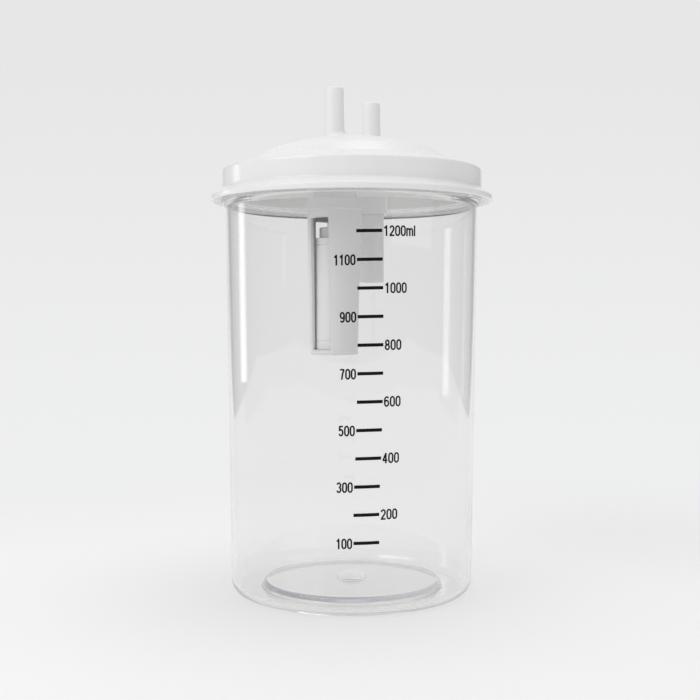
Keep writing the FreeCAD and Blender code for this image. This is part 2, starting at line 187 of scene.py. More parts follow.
class Signal:
    """A node's output. Arithmetic on it adds Math nodes to its tree."""

    def __init__(self, wiring, socket):
        self.wiring = wiring
        self.socket = socket

    def math(self, operation, *values):
        return self.wiring.node("ShaderNodeMath", {"operation": operation}, dict(enumerate(values)))

    def __add__(self, other):
        return self.math("ADD", self, other)

    def __radd__(self, other):
        return self.math("ADD", other, self)

    def __sub__(self, other):
        return self.math("SUBTRACT", self, other)

    def __rsub__(self, other):
        return self.math("SUBTRACT", other, self)

    def __mul__(self, other):
        return self.math("MULTIPLY", self, other)

    def __rmul__(self, other):
        return self.math("MULTIPLY", other, self)

    def __truediv__(self, other):
        return self.math("DIVIDE", self, other)

    def __rtruediv__(self, other):
        return self.math("DIVIDE", other, self)

    def __pow__(self, other):
        return self.math("POWER", self, other)

    def at_most(self, other):
        return self.math("MINIMUM", self, other)

    def at_least(self, other):
        return self.math("MAXIMUM", self, other)

    def above(self, other):
        """1 where this number is the greater one, and 0 elsewhere."""
        return self.math("GREATER_THAN", self, other)

    def sine(self):
        return self.math("SINE", self)

    def cosine(self):
        return self.math("COSINE", self)


class Wiring:
    """A node tree that is filled one node at a time."""

    def __init__(self, tree):
        self.tree = tree
        self.tree.nodes.clear()

    def node(self, kind, settings, sockets, output=0):
        """Adds a node: its settings first, then a value or a link for each socket."""
        made = self.tree.nodes.new(kind)
        for name, value in settings.items():
            setattr(made, name, value)
        for name, value in sockets.items():
            if isinstance(value, Signal):
                self.tree.links.new(value.socket, made.inputs[name])
            else:
                made.inputs[name].default_value = value
        return Signal(self, made.outputs[output])

    def end(self, last, kind="ShaderNodeOutputMaterial"):
        """Joins the last signal to the tree's output."""
        self.tree.links.new(last.socket, self.tree.nodes.new(kind).inputs[0])


class Finish(Wiring):
    """A material made of nodes that read the piece's own coordinates."""

    def __init__(self, name):
        self.material = bpy.data.materials.new(name)
        self.material.use_nodes = True
        super().__init__(self.material.node_tree)
        self.place = self.node("ShaderNodeTexCoord", {}, {}, "Object")

    def noise(self, scale, detail=2.0, rough=0.5):
        """Soft noise from 0 to 1, with that many waves to the metre."""
        sockets = {"Vector": self.place, "Scale": scale, "Detail": detail, "Roughness": rough}
        return self.node("ShaderNodeTexNoise", {}, sockets, "Fac")

    def along(self, axis):
        """The place along an axis, in metres."""
        return self.node("ShaderNodeSeparateXYZ", {}, {0: self.place}, axis)

    def ramp(self, value, low, high, **settings):
        """A number that goes from 0 to 1 as the value goes from low to high."""
        sockets = {"Value": value, "From Min": low, "From Max": high}
        return self.node("ShaderNodeMapRange", settings, sockets)

    def ray(self, kind):
        """What Light Path says of a ray."""
        return self.node("ShaderNodeLightPath", {}, {}, kind)

    def blend(self, factor, first, second):
        """A colour between two colours."""
        settings = {"data_type": "RGBA"}
        return self.node("ShaderNodeMix", settings, {0: factor, 6: first, 7: second}, 2)

    def bump(self, height, depth):
        """A normal from a height, whose whole range is that many metres deep."""
        return self.node("ShaderNodeBump", {}, {"Height": height, "Distance": depth, "Strength": 1.0})

    def mixed(self, factor, first, second):
        """A mix of two shaders."""
        return self.node("ShaderNodeMixShader", {}, {0: factor, 1: first, 2: second})

    def dress(self, *pieces):
        """Gives the finish to pieces."""
        for piece in pieces:
            piece.data.materials.clear()
            piece.data.materials.append(self.material)


NECK_RADIUS = 55.68
MOUTH_RADIUS = 54.08
GATE_FOOT = PUNT_RISE + JAR_FLOOR
gate_under = crown(GATE_RADIUS, PUNT_RISE, GATE_RISE)
gate_over = crown(GATE_RADIUS, GATE_FOOT, GATE_RISE)
jar_walls = outline([
    gate_under[-1],
    (PUNT_RADIUS - PUNT_DRAFT, PUNT_RISE, PUNT_ROUND),
    (PUNT_RADIUS, 0, PUNT_ROUND),
    (BASE_RADIUS, 0, HEEL_ROUND),
    (SHOULDER_RADIUS, SHOULDER_HEIGHT),
    (BEAD_RADIUS, BEAD_LOW, BEAD_ROUND),
    (BEAD_RADIUS, BEAD_TOP, BEAD_ROUND),
    (NECK_RADIUS, BEAD_TOP),
    (NECK_RADIUS, JAR_HEIGHT, RIM_ROUND),
    (MOUTH_RADIUS, JAR_HEIGHT, RIM_ROUND),
    (jar_inside(JAR_FLOOR), JAR_FLOOR, INNER_HEEL_ROUND),
    (PUNT_RADIUS, JAR_FLOOR, PUNT_ROUND),
    (PUNT_RADIUS - PUNT_DRAFT, GATE_FOOT, PUNT_ROUND),
    gate_over[-1],
])
jar = turned("clear_jar", gate_under[:-1] + jar_walls + gate_over[-2::-1], segments=256)

clear = Finish("polished_clear_plastic")
handling = clear.noise(60.0, 4.0, 0.6)
flow = clear.noise(22.0, 1.0)
clear_wall = clear.node("ShaderNodeBsdfPrincipled", {}, {
    "Base Color": clear.blend(flow, (0.969, 0.968, 0.966, 1), (0.959, 0.959, 0.958, 1)),
    "Roughness": 0.01 + 0.03 * handling,
    "IOR": 1.5,
    "Transmission Weight": 1.0,
    "Normal": clear.bump(flow, 0.00008),
})

# Light that stays caught in the wall, reflected again and again, is painted as a glow: after a few
# reflections the wall gives off pale and dim layers of painted light itself
CAUGHT_BOUNCES = 3.5
LAYER_WAVES = (25.0, 25.0, 900.0)
LID_SHADE_LOW = 160.0
LID_SHADE_HIGH = 170.0

layered = clear.node("ShaderNodeVectorMath", {"operation": "MULTIPLY"}, {0: clear.place, 1: LAYER_WAVES})
layers = clear.node("ShaderNodeTexNoise", {}, {"Vector": layered, "Scale": 1.0, "Detail": 1.0}, "Fac")
layers = clear.ramp(layers, 0.36, 0.64)
# Near the lid the painted glow turns darker in its dim layers and paler in its bright ones, painted shade and
# light under the lid
under_lid = clear.ramp(clear.along("Z"), LID_SHADE_LOW * MM, LID_SHADE_HIGH * MM)
dim = clear.blend(under_lid, (0.36, 0.36, 0.39, 1), (0.14, 0.14, 0.16, 1))
bright = clear.blend(under_lid, (0.58, 0.58, 0.61, 1), (0.76, 0.76, 0.77, 1))
# A painted glow: the wall gives off this light itself, though it is no lamp
painted_caught_light = clear.node("ShaderNodeEmission", {}, {"Color": clear.blend(layers, dim, bright), "Strength": 1.0})
seen_wall = clear.mixed(clear.ray("Glossy Depth").above(CAUGHT_BOUNCES), clear_wall, painted_caught_light)

# Lamplight goes straight through, so that the jar casts only a faint shadow
lit_through = clear.node("ShaderNodeBsdfTransparent", {}, {"Color": (0.97, 0.97, 0.97, 1)})
passes = clear.ray("Is Shadow Ray").at_least(clear.ray("Is Diffuse Ray"))
clear.end(clear.mixed(passes, seen_wall, lit_through))
clear.dress(jar)
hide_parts("jar")
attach(jar, "jar")


# Printed scale
# Black ink, pad printed on the front of the jar: a bar for every hundred millilitres, with its number to
# the right of the even hundreds and to the left of the odd ones. The print bows a little to one side.
MARK_COUNT = 12
MARK_FIRST = 30.91
MARK_STEP = 11.426
MARK_LEFT = 2.4
MARK_LENGTH = 10.5
MARK_THICK = 1.35
MARK_TILT = 0.02
BOW_MIDDLE = 116.0
BOW = 0.00036
BOW_MOST = 1.65
INK = 0.03
DIGIT_HEIGHT = 3.7
DIGIT_WIDTH = 1.46
DIGIT_PITCH = 2.26
RIGHT_SPREAD = 1.08
DIGIT_STROKE = 0.68
DIGIT_GAP = 0.85
DIGIT_DROP = 0.1


def wrapped(across, out, height):
    """A point of the flat print on the jar's tapered front."""
    radius = jar_outside(height)
    turn = across / radius
    return ((radius + out) * math.sin(turn), -(radius + out) * math.cos(turn), height)


class Rule(Wiring):
    """A Geometry Nodes tree, built from the piece's named sizes."""

    def __init__(self, name, **sizes):
        super().__init__(bpy.data.node_groups.new(name, "GeometryNodeTree"))
        self.tree.interface.new_socket("Geometry", in_out="OUTPUT", socket_type="NodeSocketGeometry")
        self.values = {}
        for label, value in sizes.items():
            kind = "NodeSocketInt" if isinstance(value, int) else "NodeSocketFloat"
            socket = self.tree.interface.new_socket(label, in_out="INPUT", socket_type=kind)
            self.values[socket.identifier] = value
        self.entry = self.tree.nodes.new("NodeGroupInput")

    def size(self, label):
        return Signal(self, self.entry.outputs[label])

    def vector(self, x, y, z):
        """Joins three numbers into a vector."""
        return self.node("ShaderNodeCombineXYZ", {}, {"X": x, "Y": y, "Z": z})

    def piece(self, name, geometry, material):
        """The finished geometry as a plain mesh object."""
        plain = self.node("GeometryNodeRealizeInstances", {}, {0: geometry})
        painted = self.node("GeometryNodeSetMaterial", {}, {0: plain, "Material": material})
        self.end(painted, "NodeGroupOutput")
        carrier = bpy.data.objects.new(name, bpy.data.meshes.new(name))
        bpy.context.scene.collection.objects.link(carrier)
        modifier = carrier.modifiers.new("rule", "NODES")
        modifier.node_group = self.tree
        for identifier, value in self.values.items():
            modifier[identifier] = value
        bpy.context.view_layer.update()
        graph = bpy.context.evaluated_depsgraph_get()
        mesh = bpy.data.meshes.new_from_object(carrier.evaluated_get(graph))
        carrier.modifiers.clear()
        carrier.data = mesh
        return carrier


ink = Finish("printing_ink")
pores = ink.noise(2500.0, 2.0)
ink.end(ink.node("ShaderNodeBsdfPrincipled", {}, {
    "Base Color": ink.blend(pores, (0.003, 0.003, 0.0035, 1), (0.008, 0.008, 0.009, 1)),
    "Roughness": 0.5 + 0.2 * pores,
    "Specular IOR Level": 0.12,
    "Normal": ink.bump(pores, 0.00001),
}))

marks = Rule(
    "scale_marks",
    count=MARK_COUNT,
    first=MARK_FIRST,
    step=MARK_STEP,
    left=MARK_LEFT,
    length=MARK_LENGTH,
    thick=MARK_THICK,
    tilt=MARK_TILT,
    bow=BOW,
    bow_middle=BOW_MIDDLE,
    bow_most=BOW_MOST,
    foot_radius=BASE_RADIUS,
    draft=JAR_DRAFT,
    ink=INK,
)

mark_left = marks.size("left")
mark_length = marks.size("length")
mark_thick = marks.size("thick")
mark_start = marks.vector(mark_left, 0.0, 0.0)
mark_stop = marks.vector(mark_left + mark_length, 0.0, 0.0)
mark_line = marks.node("GeometryNodeCurvePrimitiveLine", {}, {"Start": mark_start, "End": mark_stop})
mark_line = marks.node("GeometryNodeResampleCurve", {}, {"Curve": mark_line, "Count": 41})
along = marks.node("GeometryNodeSplineParameter", {}, {}, "Length")
end_share = (2 * along.at_most(mark_length - along) / mark_thick).at_most(1.0)
roundness = (((2 - end_share) * end_share) ** 0.5).at_least(0.02)
mark_line = marks.node("GeometryNodeSetCurveRadius", {}, {"Curve": mark_line, "Radius": roundness})
section = marks.node("GeometryNodeCurvePrimitiveCircle", {}, {"Resolution": 12, "Radius": mark_thick / 2})
mark = marks.node(
    "GeometryNodeCurveToMesh",
    {},
    {"Curve": mark_line, "Profile Curve": section, "Fill Caps": True},
)
feet = marks.node("GeometryNodeMeshLine", {}, {
    "Count": marks.size("count"),
    "Start Location": marks.vector(0.0, 0.0, marks.size("first")),
    "Offset": marks.vector(0.0, 0.0, marks.size("step")),
})
mark_rows = marks.node("GeometryNodeInstanceOnPoints", {}, {"Points": feet, "Instance": mark})
mark_rows = marks.node("GeometryNodeRealizeInstances", {}, {0: mark_rows})
here = marks.node("GeometryNodeInputPosition", {}, {})
x, y, z = (marks.node("ShaderNodeSeparateXYZ", {}, {0: here}, axis) for axis in "XYZ")
lean = ((z - marks.size("bow_middle")) ** 2.0 * marks.size("bow")).at_most(marks.size("bow_most"))
height = z + marks.size("tilt") * (x - mark_left - mark_length / 2)
front = marks.size("foot_radius") + marks.size("draft") * height
swing = (x - lean) / front
reach = front + marks.size("ink") * (1 + y * 2 / mark_thick)
around = marks.vector(reach * swing.sine(), 0 - reach * swing.cosine(), height)
in_metres = marks.node("ShaderNodeVectorMath", {"operation": "SCALE"}, {0: around, "Scale": MM})
mark_rows = marks.node("GeometryNodeSetPosition", {}, {"Geometry": mark_rows, "Position": in_metres})
scale_marks = marks.piece("scale_marks", mark_rows, ink.material)


def bent(x, y, half_width, half_height, start, stop, steps=12):
    """A curved stroke of a letter: a stretch of an ellipse between two angles in degrees."""
    turns = [math.radians(start + (stop - start) * index / steps) for index in range(steps + 1)]
    return [(x + half_width * math.cos(turn), y + half_height * math.sin(turn)) for turn in turns]


arches = [bent(x, 0.48, 0.4, 0.24, 180, 0) + [(x + 0.4, -0.08)] for x in (0.4, 1.2)]
six = [bent(0.5, 0.31, 0.5, 0.31, 0, 360), bent(0.55, 0.62, 0.55, 0.38, 40, 180) + [(0, 0.31)]]
strokes = {
    "0": [bent(0.5, 0.7, 0.5, 0.3, 0, 180) + bent(0.5, 0.3, 0.5, 0.3, 180, 360) + [(1, 0.7)]],
    "1": [[(0.05, 0.76), (0.6, 0.97)], [(0.6, 1.08), (0.6, -0.08)]],
    "2": [bent(0.5, 0.72, 0.48, 0.28, 170, -30) + [(0.05, 0.02)], [(-0.15, 0), (1.15, 0)]],
    "3": [bent(0.46, 0.76, 0.46, 0.24, 165, -90), bent(0.46, 0.26, 0.52, 0.26, 90, -165)],
    "4": [[(0.72, 1.08), (0.72, -0.08)], [(0.72, 1), (0, 0.28)], [(-0.15, 0.26), (1.15, 0.26)]],
    "5": [[(1.05, 1), (0.05, 1)], [(0.17, 1.05), (0.08, 0.5)], bent(0.47, 0.33, 0.5, 0.33, 145, -160)],
    "6": six,
    "7": [[(-0.1, 1), (1.1, 1)], [(1, 1), (0.62, 0.55), (0.4, -0.08)]],
    "8": [bent(0.5, 0.76, 0.42, 0.24, 0, 360), bent(0.5, 0.26, 0.5, 0.26, 0, 360)],
    "9": [[(1 - x, 1 - y) for x, y in stroke] for stroke in six],
    "m": [[(0, 0.8), (0, -0.08)], *arches],
    "l": [[(0, 1.08), (0, -0.08)]],
}
widths = {"m": 2.4, "l": 0.0}
lettering = bpy.data.curves.new("numbers", "CURVE")
lettering.dimensions = "3D"
lettering.bevel_depth = DIGIT_STROKE / 2
lettering.bevel_resolution = 2
lettering.use_fill_caps = True
for index in range(MARK_COUNT):
    word = f"{(index + 1) * 100}" + ("ml" if index == MARK_COUNT - 1 else "")
    height = MARK_FIRST + MARK_STEP * index
    spread = RIGHT_SPREAD if index % 2 else 1.0
    gap = (DIGIT_PITCH - DIGIT_WIDTH) * spread
    spans = [widths.get(letter, DIGIT_WIDTH) * spread for letter in word]
    length = sum(spans) + gap * (len(word) - 1)
    across = MARK_LEFT + MARK_LENGTH + DIGIT_GAP if index % 2 else MARK_LEFT - DIGIT_GAP - length
    across -= min(BOW * (height - BOW_MIDDLE) ** 2, BOW_MOST)
    for letter, span in zip(word, spans):
        for stroke in strokes[letter]:
            line = lettering.splines.new("POLY")
            line.points.add(len(stroke) - 1)
            for point, (x, y) in zip(line.points, stroke):
                right = across + x * DIGIT_WIDTH * spread
                up = height - DIGIT_DROP + (y - 0.5) * DIGIT_HEIGHT
                point.co = (right, up + MARK_TILT * (right - MARK_LEFT - MARK_LENGTH / 2), 0, 1)
        across += span + gap
written = bpy.data.objects.new("numbers", lettering)
bpy.context.scene.collection.objects.link(written)
bpy.context.view_layer.update()
numbers = bmesh.new()
numbers.from_mesh(written.to_mesh())
for vert in numbers.verts:
    vert.co = wrapped(vert.co.x, INK * (1 + vert.co.z * 2 / DIGIT_STROKE), vert.co.y)
written.to_mesh_clear()
bpy.data.objects.remove(written)
bpy.data.curves.remove(lettering)
scale_numbers = new_piece("scale_numbers", numbers)
ink.dress(scale_marks, scale_numbers)
for printed in (scale_marks, scale_numbers):
    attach(printed, "jar")


# Lid gasket
# A flat ring of pale silicone rubber, laid in the lid's groove, where the jar's rim presses on it.
GROOVE_CEILING = 184.6
PLUG_RADIUS = 53.66
SKIRT_RADIUS = 55.98
GASKET_GAP = 0.2

gasket_corners = [
    (PLUG_RADIUS + GASKET_GAP, JAR_HEIGHT),
    (SKIRT_RADIUS - GASKET_GAP, JAR_HEIGHT),
    (SKIRT_RADIUS - GASKET_GAP, GROOVE_CEILING),
    (PLUG_RADIUS + GASKET_GAP, GROOVE_CEILING),
]
gasket = turned("gasket_ring", gasket_corners, segments=256, closed=True)

silicone = Finish("pale_silicone")
cloud = silicone.noise(300.0, 3.0)
silicone.end(silicone.node("ShaderNodeBsdfPrincipled", {}, {
    "Base Color": silicone.blend(cloud, (0.68, 0.67, 0.64, 1), (0.76, 0.75, 0.72, 1)),
    "Roughness": 0.5 + 0.15 * cloud,
    "Normal": silicone.bump(cloud, 0.00002),
}))
silicone.dress(gasket)
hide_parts("lid_gasket")
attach(gasket, "gasket")


# Lid
# One white plastic moulding: a domed top with a flared lip, a groove for the gasket, an inner ring that
# enters the jar, two hose spigots with rounded feet, and under them the valve seat inside the ring that
# carries the cage, and the socket of the drop tube.
LID_WALL = 1.8
BAND_RADIUS = 57.78
BAND_CORNER = 186.8
BAND_ROUND = 1.3
DOME_FOOT = (45.2, 190.3)
DOME_FOOT_ROUND = 3.0
DOME_KNUCKLE = (37.0, 195.4)
DOME_KNUCKLE_ROUND = 16.0
DOME_TOP = 201.9
FLARE_TOP = 178.0
FLARE_ROUND = 1.2
LIP_RADIUS = 62.6
LIP_TOP = 175.1
LIP_BOTTOM = 172.9
LIP_WALL = 1.6
LIP_ROUND = 0.6
LIP_ROOT = 177.2
PLUG_BOTTOM = 174.0
PLUG_WALL = 1.5
PLUG_ROUND = 0.5
UNDER_SHOULDER = 186.57
PATCH_RADIUS = 32.0
CROWN_RINGS = (PATCH_RADIUS, 32.8, 33.6, 34.2)
UNDER_RINGS = (34.8, 33.8, 32.9, PATCH_RADIUS)
VACUUM_PORT = (-7.5, -15.0)
PATIENT_PORT = (9.1, 21.5)
SPIGOT_TIP = 221.0
SPIGOT_LAND = 213.0
SPIGOT_RADIUS = 4.1
SPIGOT_FOOT_RADIUS = 4.7
SPIGOT_FOOT_ROUND = 2.6
SPIGOT_TIP_ROUND = 0.8
PORT_MOUTH_ROUND = 0.3
PORT_BORE = 2.3
PORT_BORE_FOOT = 197.0
SEAT_HEIGHT = 168.1
CAGE_RING_RADIUS = 10.2
CAGE_RING_BORE = 8.5
SEAT_RADIUS = 5.2
SEAT_BORE = 3.2
SOCKET_FOOT = 169.3
SOCKET_RADIUS = 7.55
SOCKET_BORE = 5.95
TUBE_BORE = 4.6
LID_SEGMENTS = 256
PORT_SEGMENTS = 96

dome_rise = DOME_TOP - DOME_KNUCKLE[1]
dome_ball = (DOME_KNUCKLE[0] ** 2 + dome_rise**2) / (2 * dome_rise)
dome_centre = DOME_TOP - dome_ball


def dome_height(reach, depth=0.0):
    """The height of the dome's crown, or of its underside, at a distance from the axis."""
    return dome_centre - depth + math.sqrt(dome_ball**2 - reach**2)


def knuckle_arc(steps=16):
    """Points of the big fillet where the dome's crown turns into its flank."""
    foot = Vector(DOME_FOOT)
    knuckle = Vector(DOME_KNUCKLE)
    flank = (knuckle - foot).normalized()
    inward = Vector((-flank.y, flank.x))
    ball = Vector((0, dome_centre))
    span = dome_ball - DOME_KNUCKLE_ROUND
    start = foot + inward * DOME_KNUCKLE_ROUND - ball
    middle = start.dot(flank)
    ahead = -middle + math.sqrt(middle**2 - start.length_squared + span**2)
    centre = ball + start + flank * ahead
    first = (centre - ball).normalized()
    turns = [first.slerp(-inward, index / steps) for index in range(steps + 1)]
    return [tuple(centre + turn * DOME_KNUCKLE_ROUND) for turn in turns]


dome_turn = knuckle_arc()
crown_edge = [(reach, dome_height(reach)) for reach in CROWN_RINGS]
under_edge = [(reach, dome_height(reach, LID_WALL)) for reach in UNDER_RINGS]
lid_walls = outline([
    *crown_edge,
    *dome_turn,
    (*DOME_FOOT, DOME_FOOT_ROUND),
    (BAND_RADIUS, BAND_CORNER, BAND_ROUND),
    (BAND_RADIUS, FLARE_TOP, FLARE_ROUND),
    (LIP_RADIUS, LIP_TOP, LIP_ROUND),
    (LIP_RADIUS, LIP_BOTTOM, LIP_ROUND),
    (LIP_RADIUS - LIP_WALL, LIP_BOTTOM),
    (SKIRT_RADIUS, LIP_ROOT),
    (SKIRT_RADIUS, GROOVE_CEILING),
    (PLUG_RADIUS, GROOVE_CEILING),
    (PLUG_RADIUS, PLUG_BOTTOM, PLUG_ROUND),
    (PLUG_RADIUS - PLUG_WALL, PLUG_BOTTOM, PLUG_ROUND),
    (PLUG_RADIUS - PLUG_WALL, UNDER_SHOULDER),
    (DOME_FOOT[0], DOME_FOOT[1] - LID_WALL),
    (DOME_KNUCKLE[0], DOME_KNUCKLE[1] - LID_WALL),
    *under_edge,
])

lid_build = bmesh.new()
lid_rings = spin_rings(lid_build, lid_walls, (0, 0), LID_SEGMENTS)
for outer, inner in zip(lid_rings, lid_rings[1:]):
    join_rings(lid_build, outer, inner)


def foot_rings(port, steps=10):
    """Rings of a spigot's rounded foot, rolled between its tapered stem and the dome."""
    taper = (SPIGOT_FOOT_RADIUS - SPIGOT_RADIUS) / (SPIGOT_LAND - DOME_KNUCKLE[1])
    lean = math.atan(taper)
    rings = [[] for _ in range(steps + 1)]
    for index in range(PORT_SEGMENTS):
        turn = 2 * math.pi * index / PORT_SEGMENTS
        away = Vector((math.cos(turn), math.sin(turn), 0))
        height = DOME_TOP
        for _ in range(6):
            contact = height - SPIGOT_FOOT_ROUND * math.sin(lean)
            stem = SPIGOT_FOOT_RADIUS - taper * (contact - DOME_KNUCKLE[1])
            centre = Vector((*port, 0)) + away * (stem + SPIGOT_FOOT_ROUND * math.cos(lean))
            reach = math.hypot(centre.x, centre.y)
            height = dome_centre + math.sqrt((dome_ball + SPIGOT_FOOT_ROUND) ** 2 - reach**2)
        centre.z = height
        to_dome = (Vector((0, 0, dome_centre)) - centre).normalized()
        to_stem = -(away * math.cos(lean) + Vector((0, 0, math.sin(lean))))
        for step, ring in enumerate(rings):
            arm = to_dome.slerp(to_stem, step / steps)
            ring.append(lid_build.verts.new(centre + arm * SPIGOT_FOOT_ROUND))
    return rings


def chain(rings):
    """Faces along a row of rings."""
    for low, high in zip(rings, rings[1:]):
        join_rings(lid_build, low, high)


def port_rings(port, path):
    """Rings round a port's axis."""
    return spin_rings(lid_build, path, port, PORT_SEGMENTS)


vacuum_foot = foot_rings(VACUUM_PORT)
patient_foot = foot_rings(PATIENT_PORT)
spigot_path = outline([
    (SPIGOT_RADIUS, SPIGOT_LAND),
    (SPIGOT_RADIUS, SPIGOT_TIP, SPIGOT_TIP_ROUND),
    (PORT_BORE, SPIGOT_TIP, PORT_MOUTH_ROUND),
    (PORT_BORE, PORT_BORE_FOOT),
])


def middle_and_reach(ring):
    """The middle of a ring, seen from above, and its mean distance from it."""
    points = [Vector((vert.co.x, vert.co.y)) for vert in ring]
    middle = sum(points, Vector((0, 0))) / len(points)
    return middle, sum((point - middle).length for point in points) / len(points)


def port_ring(port, reach):
    """One ring on the dome's underside, round a port."""
    ring = port_rings(port, [(reach, 0)])[0]
    for vert in ring:
        vert.co.z = dome_height(math.hypot(vert.co.x, vert.co.y), LID_WALL)
    return ring


ring_outside = port_ring(VACUUM_PORT, CAGE_RING_RADIUS)
ring_inside = port_ring(VACUUM_PORT, CAGE_RING_BORE)
seat_outside = port_ring(VACUUM_PORT, SEAT_RADIUS)
socket_outside = port_ring(PATIENT_PORT, SOCKET_RADIUS)
vacuum_way = port_rings(VACUUM_PORT, [
    (SEAT_BORE, PORT_BORE_FOOT),
    (SEAT_BORE, SEAT_HEIGHT),
    (SEAT_RADIUS, SEAT_HEIGHT),
])
patient_way = port_rings(PATIENT_PORT, [
    (TUBE_BORE, PORT_BORE_FOOT),
    (TUBE_BORE, GROOVE_CEILING),
    (SOCKET_BORE, GROOVE_CEILING),
    (SOCKET_BORE, SOCKET_FOOT),
    (SOCKET_RADIUS, SOCKET_FOOT),
])
chain([*vacuum_foot, *port_rings(VACUUM_PORT, spigot_path), *vacuum_way, seat_outside])
chain([*patient_foot, *port_rings(PATIENT_PORT, spigot_path), *patient_way, socket_outside])
cage_ring_end = port_rings(VACUUM_PORT, [(CAGE_RING_BORE, SEAT_HEIGHT), (CAGE_RING_RADIUS, SEAT_HEIGHT)])
chain([ring_inside, *cage_ring_end, ring_outside])


NET_PITCH = 1.15
NET_MARGIN = 0.6
NET_EDGE_MARGIN = 0.8


def fill_crown(edge, holes, wall, depth, upward):
    """Fills the dome inside a ring with a net of triangles, open in the holes and over a hanging wall."""
    loops = [edge, *holes, *wall]
    spots = [vert for loop in loops for vert in loop]
    flat = [Vector((vert.co.x, vert.co.y)) for vert in spots]
    borders = []
    first = 0
    for loop in loops:
        borders += [(first + index, first + (index + 1) % len(loop)) for index in range(len(loop))]
        first += len(loop)
    kept_clear = [middle_and_reach(loop) for loop in loops[1:]]
    rows = int(PATCH_RADIUS / NET_PITCH) + 1
    for row in range(-rows, rows + 1):
        for column in range(-rows, rows + 1):
            x = (column + 0.5 * (row % 2)) * NET_PITCH
            y = row * NET_PITCH * math.sqrt(0.75)
            gaps = [(Vector((x, y)) - middle).length - reach for middle, reach in kept_clear]
            if math.hypot(x, y) > PATCH_RADIUS - NET_EDGE_MARGIN:
                continue
            if any(abs(gap) < NET_MARGIN for gap in gaps):
                continue
            inside = [gap < 0 for gap in gaps]
            if any(inside[:len(holes)]) or sum(inside[len(holes):]) == 1:
                continue
            spots.append(lid_build.verts.new((x, y, dome_height(math.hypot(x, y), depth))))
            flat.append(Vector((x, y)))
    faces, origins = delaunay_2d_cdt(flat, borders, [], 0, 1e-7)[2:4]
    outer_wall = set(wall[0]) if wall else set()
    under_wall = outer_wall.union(*wall)
    for face in faces:
        corners = [spots[origins[corner][0]] for corner in face]
        in_hole = any(set(corners) <= set(hole) for hole in holes)
        in_wall = set(corners) <= under_wall and outer_wall.intersection(corners)
        if not in_hole and not in_wall:
            lid_build.faces.new(corners if upward else corners[::-1])


fill_crown(lid_rings[0], [vacuum_foot[0], patient_foot[0]], [], 0.0, True)
fill_crown(lid_rings[-1], [seat_outside, socket_outside], [ring_outside, ring_inside], LID_WALL, False)
bmesh.ops.recalc_face_normals(lid_build, faces=lid_build.faces)
lid = new_piece("domed_lid", lid_build)


def smooth_crown(mesh):
    """Gives the vertices on the dome's crown the dome's own normals, so that their net shades evenly."""
    middle = Vector((0, 0, dome_centre * MM))
    normals = []
    for vert in mesh.vertices:
        arm = vert.co - middle
        on_crown = abs(arm.length - dome_ball * MM) < 1e-7
        normals.append(arm.normalized() if on_crown else Vector((0, 0, 0)))
    mesh.normals_split_custom_set_from_vertices(normals)


smooth_crown(lid.data)

white = Finish("white_moulded_plastic")
drift = white.noise(9.0, 2.0)
skin = white.noise(700.0, 3.0)
satin = white.ramp(white.along("Z"), BAND_CORNER * MM, DOME_TOP * MM)
white.end(white.node("ShaderNodeBsdfPrincipled", {}, {
    "Base Color": white.blend(drift, (0.83, 0.83, 0.825, 1), (0.855, 0.855, 0.85, 1)),
    "Roughness": 0.13 + 0.07 * skin + 0.24 * satin,
    "Normal": white.bump(skin, 0.0000025),
}))
white.dress(lid)
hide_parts("lid")
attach(lid, "lid")


# Float cage
# A white moulded tube with a pierced floor, pushed over the ring under the lid. A wide tall slot in front
# and a narrower one behind let the fluid in to lift the float.
CAGE_FOOT = 105.8
CAGE_FLOOR = 108.0
CAGE_DRAIN = 4.5
CAGE_BORE = 8.7
CAGE_TOP_BORE = 9.5
CAGE_WALL = 1.5
CAGE_TOP_WALL = 2.15
COLLAR_BORE = 10.25
COLLAR_RADIUS = 11.95
COLLAR_TOP = 180.1
FRONT_SLOT = {"azimuth": 234.4, "width": 9.4, "top": 164.5}
BACK_SLOT = {"azimuth": 125.6, "width": 7.6, "top": 163.7}
CAGE_FOOT_ROUND = 0.6
CAGE_TOP_ROUND = 0.1
COLLAR_ROUND = 0.2
DRAIN_ROUND = 0.2
SLOT_ROUND = 0.8
SLOT_SILL = CAGE_FLOOR + 0.02
SLOT_CUT = (0.5, 20.0)

